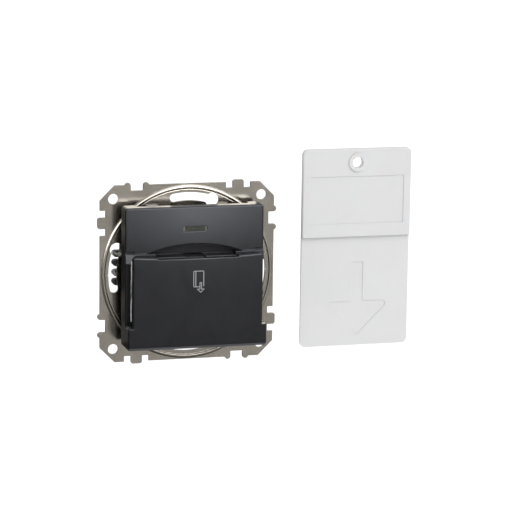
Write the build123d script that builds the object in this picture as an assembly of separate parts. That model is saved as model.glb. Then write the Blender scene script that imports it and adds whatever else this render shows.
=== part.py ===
from build123d import *
import os
from math import atan2, cos, degrees, radians, sin

# Hotel key card switch. Lengths are in millimetres.
# X runs to the right, Y into the wall and Z up, seen by someone who faces the switch.
# The origin is the centre of the mounting frame's back face, which lies on the wall.

# Clearances that several pieces share
overrun = 1.0
seat_gap = 0.05
pin_clearance = 0.05
slide_clearance = 0.15
free_gap = 0.3

# Mounting frame, a stamped steel plate
frame_side = 70.6
frame_gauge = 1.0
frame_corner_cut = 5.9
fixing_pitch = 60.0
fixing_hole_radius = 2.05
edge_feature_offset = 20.5
edge_notch_depth = 2.25
edge_reach = 0.95
socket_width = 4.95
lug_width = 2.4
tab_width = 4.5
tab_notch_width = 2.75
tab_corner_radius = 0.9
keyhole_inset = 5.1
keyhole_width = 3.35
keyhole_head_radius = 2.75
keyhole_head_angle = 19.0
keyhole_tail_angle = 10.8
bead_inset = 2.3
bead_width = 1.9
bead_height = 0.8
bead_wall = 0.45
bead_outer_slope = 0.5
bead_inner_slope = 0.45
window_side = 30.0
window_corner_radius = 3.0

# Front cover, one moulding with the card pocket on its front.
# Its depths are measured forward from the frame's front face.
cover_half_width = 27.8
cover_top = 28.1
cover_bottom = -27.3
cover_wall = 1.8
cover_rim_depth = 4.8
top_notch_half_width = 22.7
top_notch_depth = 7.8
upper_front_depth = 12.0
ledge_front_depth = 11.4
bed_front_depth = 13.3
bed_half_width = 26.0
bed_wall = 2.0
bed_corner_width = 1.8
bed_corner_height = 3.6
bed_corner_reach = 1.3
pocket_half_width = 26.0
pocket_wall = 2.2
pocket_top = 9.9
pocket_top_sag = 0.95
pocket_corner_radius = 1.0
pocket_edge_radius = 0.7
slot_bottom = -19.7
slot_gap = 2.5
step_height = 10.0
foot_edge_radius = 1.8
foot_wall = 1.8
foot_lean = 0.08
cover_corner_radius = 1.2
cover_edge_radius = 0.8
scoop_radius = 54.0
scoop_top = 13.6
scoop_floor = 8.6
scoop_floor_half_width = 16.2
scoop_back_depth = 6.5
scoop_sag = 0.7
scoop_wall = 1.4
scoop_wall_reach = 19.6
tip_recess_depth = 0.7
snap_place = 14.0
snap_width = 5.0
snap_nose = 0.9
snap_nose_depth = 0.7
snap_nose_height = 1.4
snap_end_depth = 0.3

# Indicator lens
lens_width = 9.6
lens_height = 2.1
lens_place = 19.3
lens_sink = 0.15
lens_flange = 0.5
lens_flange_thickness = 0.8
lens_guide_width = 4.0
lens_corner_radius = 0.4

# Bridge, the moulding that carries the card lever in front of the frame
bridge_half = 24.5
bridge_depth = 4.0
bridge_panel = 1.6
bridge_skirt = 1.4
bridge_corner_radius = 6.0
bridge_rib_width = 1.0
bridge_rib_place = 9.0
bridge_rib_depth = 1.4
ear_thickness = 1.5
ear_radius = 1.6
shelf_bottom = 13.5
shelf_thickness = 1.5
shelf_half_width = 3.2
shelf_back = 3.0
lever_window_bottom = 1.4
screw_inset = 5.0
screw_boss_radius = 3.0
screw_hole_radius = 1.2
screw_radius = 1.1
screw_head_radius = 2.2
screw_head_height = 1.2
screw_length = 11.0
screw_slot_width = 0.5
screw_slot_depth = 0.6

# Card lever, a bell crank on a steel pin
lever_pin_depth = 5.5
lever_pin_height = 5.0
lever_pin_radius = 0.8
lever_width = 7.4
lever_travel_angle = 20.0
lever_hub_radius = 1.6
lever_top_reach = 6.8
lever_top_rise = 3.4
lever_crown_reach = 1.0
tip_drop = 6.5
tip_round = 0.6
tip_underside = 1.1
lever_belly_reach = 3.2
lever_belly_drop = 2.6
lever_wall = 1.1
lever_web = 1.4
lever_flush = 0.05
arm_width = 3.0
arm_thickness = 2.4
arm_neck_thickness = 1.2
arm_neck_length = 2.2
nose_radius = 0.9
nose_half_length = 2.1

# Return spring of the lever
spring_place_share = 0.38
spring_pad_height = 5.5
spring_pad_radius = 2.3
spring_mean_radius = 1.8
spring_wire_radius = 0.22
spring_turns = 5
wire_sides = 8
spring_peg_radius = 1.2
spring_peg_length = 1.4

# Contact rocker
rocker_pin_inset = 8.2
rocker_arm_share = 0.4
rocker_tail = 6.0
rocker_half_width = 2.6
rocker_pin_radius = 0.8
fork_wall = 1.1
fork_lead = 0.8
carrier_thickness = 2.2
carrier_reach = 4.2
blade_gauge = 0.5
blade_width = 4.0
blade_reach = 7.3
rivet_radius = 1.1
rivet_height = 0.6
fixed_rivet_height = 0.5
contact_gap = 0.08

# Housing behind the frame
housing_half = 22.5
housing_depth = 22.0
housing_corner_radius = 7.0
housing_wall = 1.5
housing_back_wall = 1.8
bearing_rib_share = 0.385
bearing_rib_thickness = 1.5
bearing_rib_lead = 4.0
bearing_rib_bottom = -1.5
bearing_rib_top = 11.0
chamber_share = 0.545
chamber_front = 5.6
chamber_wall = 0.8
chamber_end = 9.6
wire_hole_radius = 1.6
wire_radius = 1.4
vent_width = 1.2
vent_height_share = 0.31
vent_place_share = 0.62

# Terminals, release sliders and their springs
station_height = 3.85
station_inset = 6.8
busbar_gauge = 0.6
busbar_inset = 6.9
busbar_front = 5.0
busbar_back_inset = 0.7
busbar_half_height = 3.2
busbar_bend = 0.9
contact_arm_width = 3.4
contact_arm_end = 1.8
card_drop_share = 0.577
common_tab_share = 0.545
common_tab_width = 4.0
common_tab_drop = 1.6
neutral_tab_width = 3.0
loop_gap = 0.35
prong_reach = 4.8
prong_offset = 1.85
prong_height = 2.5
prong_thickness = 3.4
slider_flange_thickness = 1.2
slider_flange_lip = 0.6
slider_travel = 1.5
stem_height = 2.2
stem_thickness = 2.2
clamp_gauge = 0.35
clamp_half_height = 2.85
clamp_edge_inset = 3.4
clamp_front = 7.0
clamp_loop_share = 0.53
clamp_rear_inset = 4.7
clamp_bend_share = 0.43

# Lamp
board_width = 12.0
board_bottom = 13.0
board_top = 22.0
board_thickness = 1.0
board_depth = 5.6
board_corner_radius = 0.5
post_width = 1.4
post_length = 4.0
lamp_side = 2.6
lamp_base_thickness = 0.7
lamp_dome_radius = 1.0
lamp_wire_radius = 0.35
lamp_wire_place = 4.2
lamp_wire_height = 13.9
lamp_wire_back = 3.0
lamp_wire_drop = 2.2
lamp_wire_run_drop = 3.1
lamp_wire_bend = 1.2

# Key card, which stands beside the switch
card_width = 45.3
card_height = 80.5
card_centre = 69.95
card_bottom = -33.35
card_corner_radius = 2.2
card_head_height = 35.55
card_head_thickness = 2.4
card_blade_thickness = 1.1
card_edge_radius = 0.35
card_hole_radius = 2.25
card_rim_radius = 3.75
card_rim_height = 0.6
card_rim_edge_radius = 0.25
card_hole_drop = 5.5
card_label_margin = 3.0
card_label_top_drop = 11.1
card_label_bottom_rise = 5.2
card_label_sink = 0.25
card_arrow_offset = 1.05
card_stem_width = 4.8
card_stem_top_drop = 10.7
card_arrow_top_drop = 26.8
card_arrow_half_width = 14.2
card_arrow_height = 14.2
card_arrow_corner_radius = 1.5
card_mark_sink = 0.2


def depth(forward):
    """The Y of a place that lies this far in front of the frame's front face."""
    return -frame_gauge - forward


def slab(outline, y_front, y_back):
    """An outline drawn in X and Z, as thick as the space between two Y values."""
    plane = Plane(origin=(0, y_back, 0), x_dir=(1, 0, 0), z_dir=(0, -1, 0))
    return extrude(plane * outline, amount=y_back - y_front)


def bar(profile, x_left, x_right):
    """A profile drawn in Y and Z, stretched from one X to another."""
    plane = Plane(origin=(x_left, 0, 0), x_dir=(0, 1, 0), z_dir=(1, 0, 0))
    return extrude(plane * profile, amount=x_right - x_left)


def layer(outline, z_low, z_high):
    """An outline drawn in X and Y, as tall as the space between two Z values."""
    return extrude(Plane.XY.offset(z_low) * outline, amount=z_high - z_low)


def block(x_left, x_right, y_front, y_back, z_low, z_high):
    """A rectangular block between six faces."""
    centre = ((x_left + x_right) / 2, (y_front + y_back) / 2, (z_low + z_high) / 2)
    return Pos(*centre) * Box(x_right - x_left, y_back - y_front, z_high - z_low)


def rod_along_x(radius, x_left, x_right, y, z):
    """A round rod along X."""
    return bar(Pos(y, z) * Circle(radius), x_left, x_right)


def rod_along_y(radius, y_front, y_back, x, z):
    """A round rod along Y."""
    return slab(Pos(x, z) * Circle(radius), y_front, y_back)


def rounded(half_width, half_height, radius):
    """A rectangle about the origin with rounded corners."""
    return RectangleRounded(2 * half_width, 2 * half_height, radius)


def bent_strip(points, gauge, radius):
    """The edge-on outline of a metal strip that follows bends of one radius."""
    return trace(FilletPolyline(*points, radius=radius), line_width=gauge)


def front_edges(solid):
    """The edges of a solid that lie in its foremost face."""
    return solid.faces().sort_by(Axis.Y)[0].edges()


def beside(side, near, far):
    """The lower and the higher place of a span that lies on one side of the middle."""
    return sorted((side * near, side * far))


def corners(place):
    """The four places at one distance from both middle lines."""
    return [(x, z) for x in (-place, place) for z in (-place, place)]


# Sizes that follow from the ones above
frame_half = frame_side / 2
keyhole_pitch_radius = frame_half - keyhole_inset
bead_inner_radius = frame_half - bead_inset
pocket_back_depth = bed_front_depth + slot_gap
pocket_front_depth = pocket_back_depth + pocket_wall
slot_round = slot_gap / 2
pocket_top_radius = (pocket_half_width**2 + pocket_top_sag**2) / (2 * pocket_top_sag)
scoop_centre = scoop_top - scoop_radius
inner_half_width = cover_half_width - cover_wall
inner_top = cover_top - cover_wall
inner_bottom = cover_bottom + cover_wall
lever_pin_y = depth(lever_pin_depth)
lever_turn = radians(lever_travel_angle)
flush_reach = bed_front_depth - lever_flush - lever_pin_depth
tip_reach = (flush_reach + tip_drop * sin(lever_turn)) / cos(lever_turn)
tip_low = tip_reach * sin(lever_turn) + tip_drop * cos(lever_turn) + tip_underside
lever_half = lever_width / 2
housing_floor = housing_depth - housing_back_wall
housing_inner = housing_half - housing_wall
screw_place = housing_half - screw_inset
rocker_pin_y = housing_floor - rocker_pin_inset
pin_distance = rocker_pin_y - lever_pin_y
rocker_arm = rocker_arm_share * pin_distance
arm_length = pin_distance - rocker_arm
spring_place = lever_pin_y + spring_place_share * pin_distance
fork_reach = rocker_arm + fork_lead
nose_y = lever_pin_y + arm_length * cos(lever_turn / 2)
nose_swing = arm_length * sin(lever_turn / 2)
rocker_turn = atan2(nose_swing, rocker_pin_y - nose_y)
rocker_ratio = -2 * rocker_turn / lever_turn
vent_height = vent_height_share * housing_half
vent_place = vent_place_share * housing_half
busbar_place = housing_half - busbar_inset
busbar_back = housing_floor - busbar_back_inset
card_drop_place = card_drop_share * busbar_place
common_tab_place = common_tab_share * busbar_place
bearing_rib_inner = bearing_rib_share * busbar_place
bearing_rib_outer = bearing_rib_inner + bearing_rib_thickness
bearing_rib_front = rocker_pin_y - bearing_rib_lead
chamber_inner = chamber_share * busbar_place
station_depth = housing_floor - station_inset
prong_tip = housing_half + prong_reach
slider_flange_outer = housing_inner - seat_gap
slider_flange_inner = slider_flange_outer - slider_flange_thickness
busbar_middle = busbar_place + busbar_gauge / 2
busbar_join = station_height + stem_height / 2 + free_gap
clamp_rear_place = card_drop_place + busbar_gauge / 2 + free_gap + slider_travel + clamp_gauge / 2
clamp_loop_width = clamp_loop_share * (busbar_place - clamp_rear_place)
clamp_bend_place = clamp_rear_place + clamp_loop_width
clamp_bend_radius = clamp_bend_share * clamp_loop_width
clamp_edge_back = housing_floor - clamp_edge_inset
clamp_rear_back = housing_floor - clamp_rear_inset
lamp_wire_run = screw_place - screw_boss_radius - lamp_wire_run_drop
rivet_top = (
    rocker_tail * sin(rocker_turn)
    + (rivet_height + blade_gauge / 2) * cos(rocker_turn)
    + rivet_radius * sin(rocker_turn)
)
contact_face_offset = rivet_top + contact_gap
contact_arm_offset = contact_face_offset + fixed_rivet_height + busbar_gauge / 2
rivet_y = rocker_pin_y + rocker_tail * cos(rocker_turn)
card_top = card_bottom + card_height
card_step = card_top - card_head_height
card_front = -frame_gauge
card_back = card_front + card_head_thickness
card_blade_front = card_back - card_blade_thickness


# Mounting frame
def edge_features():
    """What one side adds to and takes from the square: a socket, then a tab."""
    added = Sketch()
    taken = Sketch()
    notch_middle = frame_half - edge_notch_depth / 2
    notch_height = edge_notch_depth + overrun
    notch = Pos(-edge_feature_offset, notch_middle + overrun / 2) * Rectangle(socket_width, notch_height)
    taken += notch
    for side in (-1, 1):
        lug_x = -edge_feature_offset + side * (socket_width + lug_width) / 2
        lug_top = frame_half + edge_reach - lug_width / 2
        added += Pos(lug_x, lug_top) * Circle(lug_width / 2)
        gap_x = edge_feature_offset + side * (tab_width + tab_notch_width) / 2
        taken += Pos(gap_x, notch_middle + overrun / 2) * Rectangle(tab_notch_width, notch_height)
    tab_height = edge_notch_depth + edge_reach
    tab = RectangleRounded(tab_width, tab_height, tab_corner_radius)
    added += Pos(edge_feature_offset, frame_half + edge_reach - tab_height / 2) * tab
    return added, taken


def keyhole():
    """An arc slot with a round head, for a box screw at the top of the frame."""
    sweep_angle = keyhole_head_angle + keyhole_tail_angle
    arc = CenterArc((0, 0), keyhole_pitch_radius, 90 - keyhole_head_angle, sweep_angle)
    head = Pos(arc @ 0) * Circle(keyhole_head_radius)
    return SlotArc(arc, keyhole_width) + head


def bead_profile(inner, outer, base):
    """The section of a raised ring with sloping sides, drawn with its radius along X."""
    crest = base - bead_height
    crown = [(inner + bead_inner_slope, crest), (outer - bead_outer_slope, crest)]
    return make_face(Polyline((inner, base), *crown, (outer, base), close=True))


def mounting_frame():
    outline = chamfer(Rectangle(frame_side, frame_side).vertices(), frame_corner_cut)
    added, taken = edge_features()
    for quarter in range(4):
        turn = Rot(0, 0, -90 * quarter)
        outline = outline - turn * taken
        outline = outline + turn * added
        outline = outline - turn * keyhole()
    half_pitch = fixing_pitch / 2
    for x, z in corners(half_pitch):
        outline -= Pos(x, z) * Circle(fixing_hole_radius)
    for x, z in corners(screw_place):
        outline -= Pos(x, z) * Circle(screw_radius + slide_clearance)
    outline -= rounded(window_side / 2, window_side / 2, window_corner_radius)
    plate = slab(outline, -frame_gauge, 0)
    bead_outer_radius = bead_inner_radius + bead_width
    ridge = bead_profile(bead_inner_radius, bead_outer_radius, -frame_gauge)
    groove = bead_profile(bead_inner_radius + bead_wall, bead_outer_radius - bead_wall, 0)
    plate += revolve(ridge, axis=Axis.Y)
    plate -= revolve(groove, axis=Axis.Y)
    return plate


# Front cover
def scoop_curve():
    """The scoop's section from its front edge to its back lip: radius, then Y."""
    start = (scoop_radius, depth(upper_front_depth))
    end = (scoop_radius - (scoop_top - scoop_floor), depth(scoop_back_depth))
    return start, end


def scoop_arc(start, end, shift):
    """The concave line of the scoop, moved up and back by a shift."""
    middle_radius = (start[0] + end[0]) / 2 + scoop_sag + shift
    middle_y = (start[1] + end[1]) / 2 + scoop_sag + shift
    return ThreePointArc(
        (start[0] + shift, start[1] + shift), (middle_radius, middle_y), (end[0] + shift, end[1] + shift)
    )


def around_scoop_axis(face):
    """A face drawn in radius and Y, turned about the scoop's centre line."""
    plane = Plane(origin=(0, 0, scoop_centre), x_dir=(0, 0, 1), z_dir=(-1, 0, 0))
    return revolve(plane * face, axis=Axis((0, 0, scoop_centre), (0, 1, 0)))


def scoop_hollow():
    """The space that a thumb needs to take hold of the card."""
    start, end = scoop_curve()
    front = depth(pocket_front_depth + overrun)
    low = end[0] - lever_width
    outline = scoop_arc(start, end, 0)
    outline += Polyline(end, (low, end[1]), (low, front), (start[0], front), start)
    reach = cover_half_width + overrun
    half = scoop_floor_half_width
    above = block(-reach, reach, front, depth(0), step_height, cover_top)
    above += block(-half, half, front, depth(0), scoop_floor, step_height)
    return around_scoop_axis(make_face(outline)) & above


def scoop_back():
    """The wall behind the scoop and the floor under it."""
    start, end = scoop_curve()
    inner = scoop_arc(start, end, 0)
    outer = scoop_arc(start, end, scoop_wall)
    outline = inner + outer
    outline += Line(inner @ 0, outer @ 0)
    outline += Line(inner @ 1, outer @ 1)
    low = scoop_floor - scoop_wall
    back = depth(scoop_back_depth - scoop_wall)
    reach = scoop_wall_reach
    front = depth(upper_front_depth)
    inside = block(-reach, reach, front, back, low, scoop_top + cover_wall)
    hood = around_scoop_axis(make_face(outline)) & inside
    floor_front = depth(bed_front_depth - bed_wall)
    floor = block(-reach, reach, floor_front, back, low, scoop_floor)
    return hood + floor


def cover_shell():
    """The cover's outer form and its hollow inside."""
    rim = depth(cover_rim_depth)
    half = cover_half_width
    upper = block(-half, half, depth(upper_front_depth), rim, cover_bottom, cover_top)
    upper = fillet(upper.edges().filter_by(Axis.Y), cover_corner_radius)
    upper = fillet(front_edges(upper), cover_edge_radius)
    lower = block(-half, half, depth(ledge_front_depth), rim, cover_bottom, step_height)
    low_edges = lower.edges().filter_by(Axis.Y).sort_by(Axis.Z)[:2]
    lower = fillet(low_edges, cover_corner_radius)
    lower = fillet(front_edges(lower).filter_by(Axis.Z), cover_edge_radius)
    foot_top = slot_bottom + slot_round
    front = depth(pocket_front_depth)
    foot_corners = [(rim, cover_bottom), (rim, foot_top), (front, foot_top), (front - foot_lean, cover_bottom)]
    side_view = make_face(Polyline(*foot_corners, close=True))
    nose = side_view.vertices().sort_by(Axis.X)[:2].sort_by(Axis.Y)[0]
    foot = bar(fillet(nose, foot_edge_radius), -half, half)
    ends = []
    for edge in foot.faces().filter_by(Axis.X).edges():
        middle = edge.center()
        if middle.Y < rim - overrun and middle.Z < foot_top - overrun:
            ends.append(edge)
    foot = fillet(ends, cover_edge_radius)
    bed = block(-bed_half_width, bed_half_width, depth(bed_front_depth), rim, foot_top, step_height)
    shell = upper + lower + foot + bed
    for side in (-1, 1):
        room, corner = guide_corner()
        shell -= to_side(room, side)
        shell += to_side(corner, side)
    shell -= cover_hollow()
    half = top_notch_half_width
    shell -= block(-half, half, depth(top_notch_depth), rim + overrun, inner_top, cover_top + overrun)
    return shell + card_pocket()


def guide_corner():
    """The slanted facet at the bed's right top corner, which leads the card in."""
    front = depth(bed_front_depth)
    inner = bed_half_width - bed_corner_width
    low = step_height - bed_corner_height
    crest = Vector(inner, front, step_height)
    foot = Vector(bed_half_width, front, low)
    outer = Vector(cover_half_width, front + bed_corner_reach, step_height)
    facet = Plane(origin=crest, x_dir=foot - crest, z_dir=(foot - crest).cross(outer - crest))
    back = depth(ledge_front_depth)
    room = block(inner, cover_half_width + overrun, front - overrun, back, low, step_height + overrun)
    corner = block(inner, cover_half_width, front, back + overrun, low, step_height)
    return room, split(corner, bisect_by=facet, keep=Keep.BOTTOM)


def cover_hollow():
    """The space inside the cover, open towards the wall."""
    back = depth(cover_rim_depth) + overrun
    half = inner_half_width
    step = step_height - cover_wall
    upper = block(-half, half, depth(upper_front_depth - cover_wall), back, step, inner_top)
    bed_inner = depth(bed_front_depth - bed_wall)
    lower = block(-half, half, bed_inner, back, inner_bottom, step)
    foot_ceiling = slot_bottom - foot_wall
    foot = block(-half, half, depth(pocket_front_depth - foot_wall), back, inner_bottom, foot_ceiling)
    return upper + lower + foot


def card_pocket():
    """The plate that holds the card against the bed."""
    half = pocket_half_width
    front = depth(pocket_front_depth)
    back = depth(pocket_back_depth)
    plate = block(-half, half, front, back, slot_bottom - slot_round, pocket_top)
    sag_centre = pocket_top - pocket_top_sag + pocket_top_radius
    plate -= rod_along_y(pocket_top_radius, front - overrun, back + overrun, 0, sag_centre)
    plate = fillet(plate.edges().filter_by(Axis.Y).sort_by(Axis.Z)[-2:], pocket_corner_radius)
    rims = front_edges(plate).sort_by(Axis.Z)[1:]
    return fillet(rims, pocket_edge_radius)


def card_slot():
    """The slot between bed and pocket, open at the top and at both sides."""
    reach = cover_half_width + overrun
    floor = slot_bottom + slot_round
    back = depth(bed_front_depth)
    front = depth(pocket_back_depth)
    gap = block(-reach, reach, front, back, floor, pocket_top + overrun)
    return gap + rod_along_x(slot_round, -reach, reach, (front + back) / 2, floor)


def cover_snap(side_x, side_z):
    """A snap leg inside the cover, whose nose holds under the bridge's skirt."""
    x = side_x * snap_place
    wall = inner_top if side_z > 0 else inner_bottom
    root = wall + side_z * overrun / 2
    face = side_z * (bridge_half + free_gap)
    nose = face - side_z * snap_nose
    end = depth(snap_end_depth)
    lead = depth(snap_nose_depth)
    catch = depth(snap_nose_depth + snap_nose_height)
    top = depth(upper_front_depth - cover_wall + overrun / 2)
    if side_z < 0:
        top = depth(bed_front_depth - bed_wall + overrun / 2)
    leg = [(top, root), (end, root), (end, face)]
    hook = [(lead, nose), (catch, nose), (catch, face), (top, face)]
    outline = Polyline(*leg, *hook, close=True)
    return bar(make_face(outline), x - snap_width / 2, x + snap_width / 2)


def front_cover():
    cover = cover_shell() + scoop_back()
    cover -= card_slot()
    cover -= scoop_hollow()
    gap = lever_half + free_gap
    window_low = lever_pin_height - tip_low - free_gap
    cover -= block(-gap, gap, depth(bed_front_depth + overrun / 2), depth(0), window_low, scoop_floor)
    recess_front = depth(pocket_back_depth + tip_recess_depth)
    cover -= block(-gap, gap, recess_front, depth(bed_front_depth), window_low, scoop_floor)
    for side_z in (-1, 1):
        for side_x in (-1, 1):
            cover += cover_snap(side_x, side_z)
    window = rounded(lens_width / 2, lens_height / 2, lens_corner_radius)
    cover -= slab(Pos(0, lens_place) * window, depth(upper_front_depth + overrun), depth(0))
    return cover


def indicator_lens():
    wall_face = depth(upper_front_depth - cover_wall)
    half_width = lens_width / 2 - seat_gap
    half_height = lens_height / 2 - seat_gap
    flange_back = wall_face + seat_gap + lens_flange_thickness
    outline = rounded(half_width, half_height, lens_corner_radius)
    face = slab(outline, depth(upper_front_depth - lens_sink), flange_back)
    flange = rounded(half_width + lens_flange, half_height + lens_flange, lens_corner_radius)
    face += slab(flange, wall_face + seat_gap, flange_back)
    lamp_front = depth(board_depth) - board_thickness - lamp_base_thickness - lamp_dome_radius
    face += slab(Rectangle(lens_guide_width, 2 * half_height), wall_face, lamp_front - free_gap)
    return Pos(0, 0, lens_place) * face


# Bridge
def mechanism_bridge():
    front = depth(bridge_depth)
    back = depth(0)
    panel_back = front + bridge_panel
    outer = rounded(bridge_half, bridge_half, bridge_corner_radius)
    inner_half = bridge_half - bridge_skirt
    inner = rounded(inner_half, inner_half, bridge_corner_radius - bridge_skirt)
    tray = slab(outer, front, back) - slab(inner, panel_back, back + overrun)
    for x, z in corners(screw_place):
        tray += rod_along_y(screw_boss_radius, front, back, x, z)
        tray -= rod_along_y(screw_radius + slide_clearance, front - overrun, back + overrun, x, z)
    rib_back = panel_back + bridge_rib_depth
    for place in (-bridge_rib_place, bridge_rib_place):
        half = bridge_rib_width / 2
        tray += block(place - half, place + half, panel_back, rib_back, -inner_half, inner_half)
    half = snap_width / 2 + free_gap
    catch = depth(snap_nose_depth + snap_nose_height + free_gap)
    for side_z in (-1, 1):
        low, high = beside(side_z, inner_half - overrun, bridge_half + overrun)
        for x in (-snap_place, snap_place):
            tray -= block(x - half, x + half, catch, back + overrun, low, high)
    gap = lever_half + free_gap
    tray -= block(-gap, gap, front - overrun, back + overrun, lever_window_bottom, shelf_bottom)
    half = shelf_half_width
    tray += block(-half, half, front, shelf_back, shelf_bottom, shelf_bottom + shelf_thickness)
    peg_middle = shelf_bottom - spring_peg_length / 2
    tray += Pos(0, spring_place, peg_middle) * Cylinder(spring_peg_radius, spring_peg_length)
    ear = Pos(lever_pin_y, lever_pin_height) * Circle(ear_radius)
    ear_middle = (lever_pin_y + panel_back) / 2
    ear += Pos(ear_middle, lever_pin_height) * Rectangle(panel_back - lever_pin_y, 2 * ear_radius)
    wire_room = lamp_wire_radius + slide_clearance
    for side in (-1, 1):
        tray += bar(ear, *beside(side, gap, gap + ear_thickness))
        tray += lamp_post(side)
        pass_x = side * lamp_wire_place
        tray -= rod_along_y(wire_room, front - overrun, back + overrun, pass_x, lamp_wire_height)
    reach = gap + ear_thickness + overrun
    tray -= rod_along_x(lever_pin_radius, -reach, reach, lever_pin_y, lever_pin_height)
    return tray


def lamp_post(side):
    """A post that holds one side of the lamp's board."""
    edge = board_width / 2
    low = (board_top + board_bottom - post_length) / 2 + post_width
    high = low + post_length
    seat = depth(board_depth)
    front = seat - board_thickness
    left, right = beside(side, edge - post_width, edge + post_width)
    post = block(left, right, front, depth(bridge_depth) + seat_gap, low, high)
    left, right = beside(side, edge - post_width - overrun, edge + seat_gap)
    return post - block(left, right, front - overrun, seat, low - overrun, high + overrun)


def bridge_screws():
    """Four slotted screws from the bridge through the frame into the housing."""
    head_back = depth(bridge_depth)
    group = Part()
    for x, z in corners(screw_place):
        screw = rod_along_y(screw_head_radius, head_back - screw_head_height, head_back, x, z)
        screw += rod_along_y(screw_radius, head_back, head_back + screw_length, x, z)
        slot_front = head_back - screw_head_height - overrun
        slot_back = head_back - screw_head_height + screw_slot_depth
        slot = Rot(0, 0, 45) * Rectangle(2 * screw_head_radius + overrun, screw_slot_width)
        screw -= slab(Pos(x, z) * slot, slot_front, slot_back)
        group += screw
    return group


# Card lever
def lever_place(reach, rise):
    """A place on the lever, from its pin: forward and up."""
    return (lever_pin_y - reach, lever_pin_height + rise)


def lever_finger_outline():
    """The side view of the finger that the card pushes back."""
    points = [
        lever_place(lever_crown_reach, lever_top_rise),
        lever_place(lever_top_reach, lever_top_rise),
        lever_place(tip_reach, -tip_drop),
        lever_place(tip_reach - tip_underside, -tip_drop - tip_underside),
        lever_place(lever_belly_reach, -lever_belly_drop),
        lever_place(0, -lever_hub_radius),
        lever_place(-lever_hub_radius / 2, 0),
    ]
    return make_face(Polyline(*points, close=True))


def arm_outline():
    """The rear arm in its level place, from the hub to the neck of the nose."""
    half = arm_thickness / 2
    neck = arm_neck_thickness / 2
    start = lever_pin_y
    shoulder = lever_pin_y + arm_length - arm_neck_length
    waist = shoulder - arm_neck_length / 2
    end = lever_pin_y + arm_length
    upper = [(start, half), (waist, half), (shoulder, neck), (end, neck)]
    points = upper + [(y, -z) for y, z in reversed(upper)]
    return Pos(0, lever_pin_height) * make_face(Polyline(*points, close=True))


def card_lever():
    finger_face = lever_finger_outline()
    finger = bar(finger_face, -lever_half, lever_half)
    core = offset(finger_face, amount=-lever_wall)
    for side in (-1, 1):
        finger -= bar(core, *beside(side, lever_web / 2, lever_half + overrun))
    lever = finger + rod_along_x(lever_hub_radius, -lever_half, lever_half, lever_pin_y, lever_pin_height)
    axis = Axis((0, lever_pin_y, lever_pin_height), (1, 0, 0))
    arm = bar(arm_outline(), -arm_width / 2, arm_width / 2)
    arm_end = lever_pin_y + arm_length
    arm += rod_along_x(nose_radius, -nose_half_length, nose_half_length, arm_end, lever_pin_height)
    lever += arm.rotate(axis, -lever_travel_angle / 2)
    pad_low = lever_pin_height - nose_swing / 2
    pad_height = spring_pad_height - pad_low
    lever += Pos(0, spring_place, pad_low + pad_height / 2) * Cylinder(spring_pad_radius, pad_height)
    peg_middle = spring_pad_height + spring_peg_length / 2
    lever += Pos(0, spring_place, peg_middle) * Cylinder(spring_peg_radius, spring_peg_length)
    bore = lever_pin_radius + pin_clearance
    lever -= rod_along_x(bore, -lever_width, lever_width, lever_pin_y, lever_pin_height)
    tip_edge = lever.edges().filter_by(Axis.X).sort_by(Axis.Y)[0]
    return fillet(tip_edge, tip_round)


def lever_pin():
    reach = lever_half + free_gap + ear_thickness
    return rod_along_x(lever_pin_radius, -reach, reach, lever_pin_y, lever_pin_height)


def return_spring():
    """A coil between the lever's pad and the bridge's shelf."""
    low = spring_pad_height + spring_wire_radius + seat_gap
    high = shelf_bottom - spring_wire_radius - seat_gap
    path = Helix(pitch=(high - low) / spring_turns, height=high - low, radius=spring_mean_radius)
    section = Plane(origin=path @ 0, z_dir=path % 0) * RegularPolygon(spring_wire_radius, wire_sides)
    coil = sweep(section, path=path)
    return Pos(0, spring_place, low) * coil


# Contact rocker
def tilt_rocker(solid):
    """Turn a piece from the rocker's level place to where it lies with no card."""
    axis = Axis((0, rocker_pin_y, lever_pin_height), (1, 0, 0))
    return solid.rotate(axis, degrees(rocker_turn))


def contact_rocker():
    half = rocker_half_width
    slot = nose_radius + slide_clearance
    slot_end = rocker_arm - nose_radius - free_gap
    z = lever_pin_height
    fork_half = slot + fork_wall
    fork_back = rocker_pin_y
    fork = Pos(fork_back - fork_reach / 2, z) * Rectangle(fork_reach, 2 * fork_half)
    fork -= Pos(rocker_pin_y - slot_end, z) * Circle(slot)
    fork -= Pos(rocker_pin_y - slot_end - fork_reach / 2, z) * Rectangle(fork_reach, 2 * slot)
    fork += Pos(rocker_pin_y, z) * Circle(fork_half)
    fork += Pos(rocker_pin_y + carrier_reach / 2, z) * Rectangle(carrier_reach, carrier_thickness)
    rocker = bar(fork, -half, half)
    blade_half = blade_gauge / 2
    blade_room = block(
        -blade_width / 2 - seat_gap,
        blade_width / 2 + seat_gap,
        rocker_pin_y,
        rocker_pin_y + carrier_reach + overrun,
        z - blade_half,
        z + blade_half,
    )
    rocker -= blade_room
    bore = rocker_pin_radius + pin_clearance
    rocker -= rod_along_x(bore, -half - overrun, half + overrun, rocker_pin_y, z)
    return tilt_rocker(rocker)


def moving_contact():
    start = rocker_pin_y + rocker_pin_radius + slide_clearance
    end = rocker_pin_y + blade_reach
    half = blade_width / 2
    blade_half = blade_gauge / 2
    blade = block(-half, half, start, end, lever_pin_height - blade_half, lever_pin_height + blade_half)
    blade = fillet(blade.edges().filter_by(Axis.Z).sort_by(Axis.Y)[-2:], rivet_radius)
    return tilt_rocker(blade)


def moving_rivets():
    """The silver faces above and below the moving blade."""
    group = Part()
    for side in (-1, 1):
        middle = lever_pin_height + side * (blade_gauge + rivet_height) / 2
        group += Pos(0, rocker_pin_y + rocker_tail, middle) * Cylinder(rivet_radius, rivet_height)
    return tilt_rocker(group)


def rocker_pin():
    left = -common_tab_place - busbar_gauge
    return rod_along_x(rocker_pin_radius, left, bearing_rib_outer, rocker_pin_y, lever_pin_height)


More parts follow.
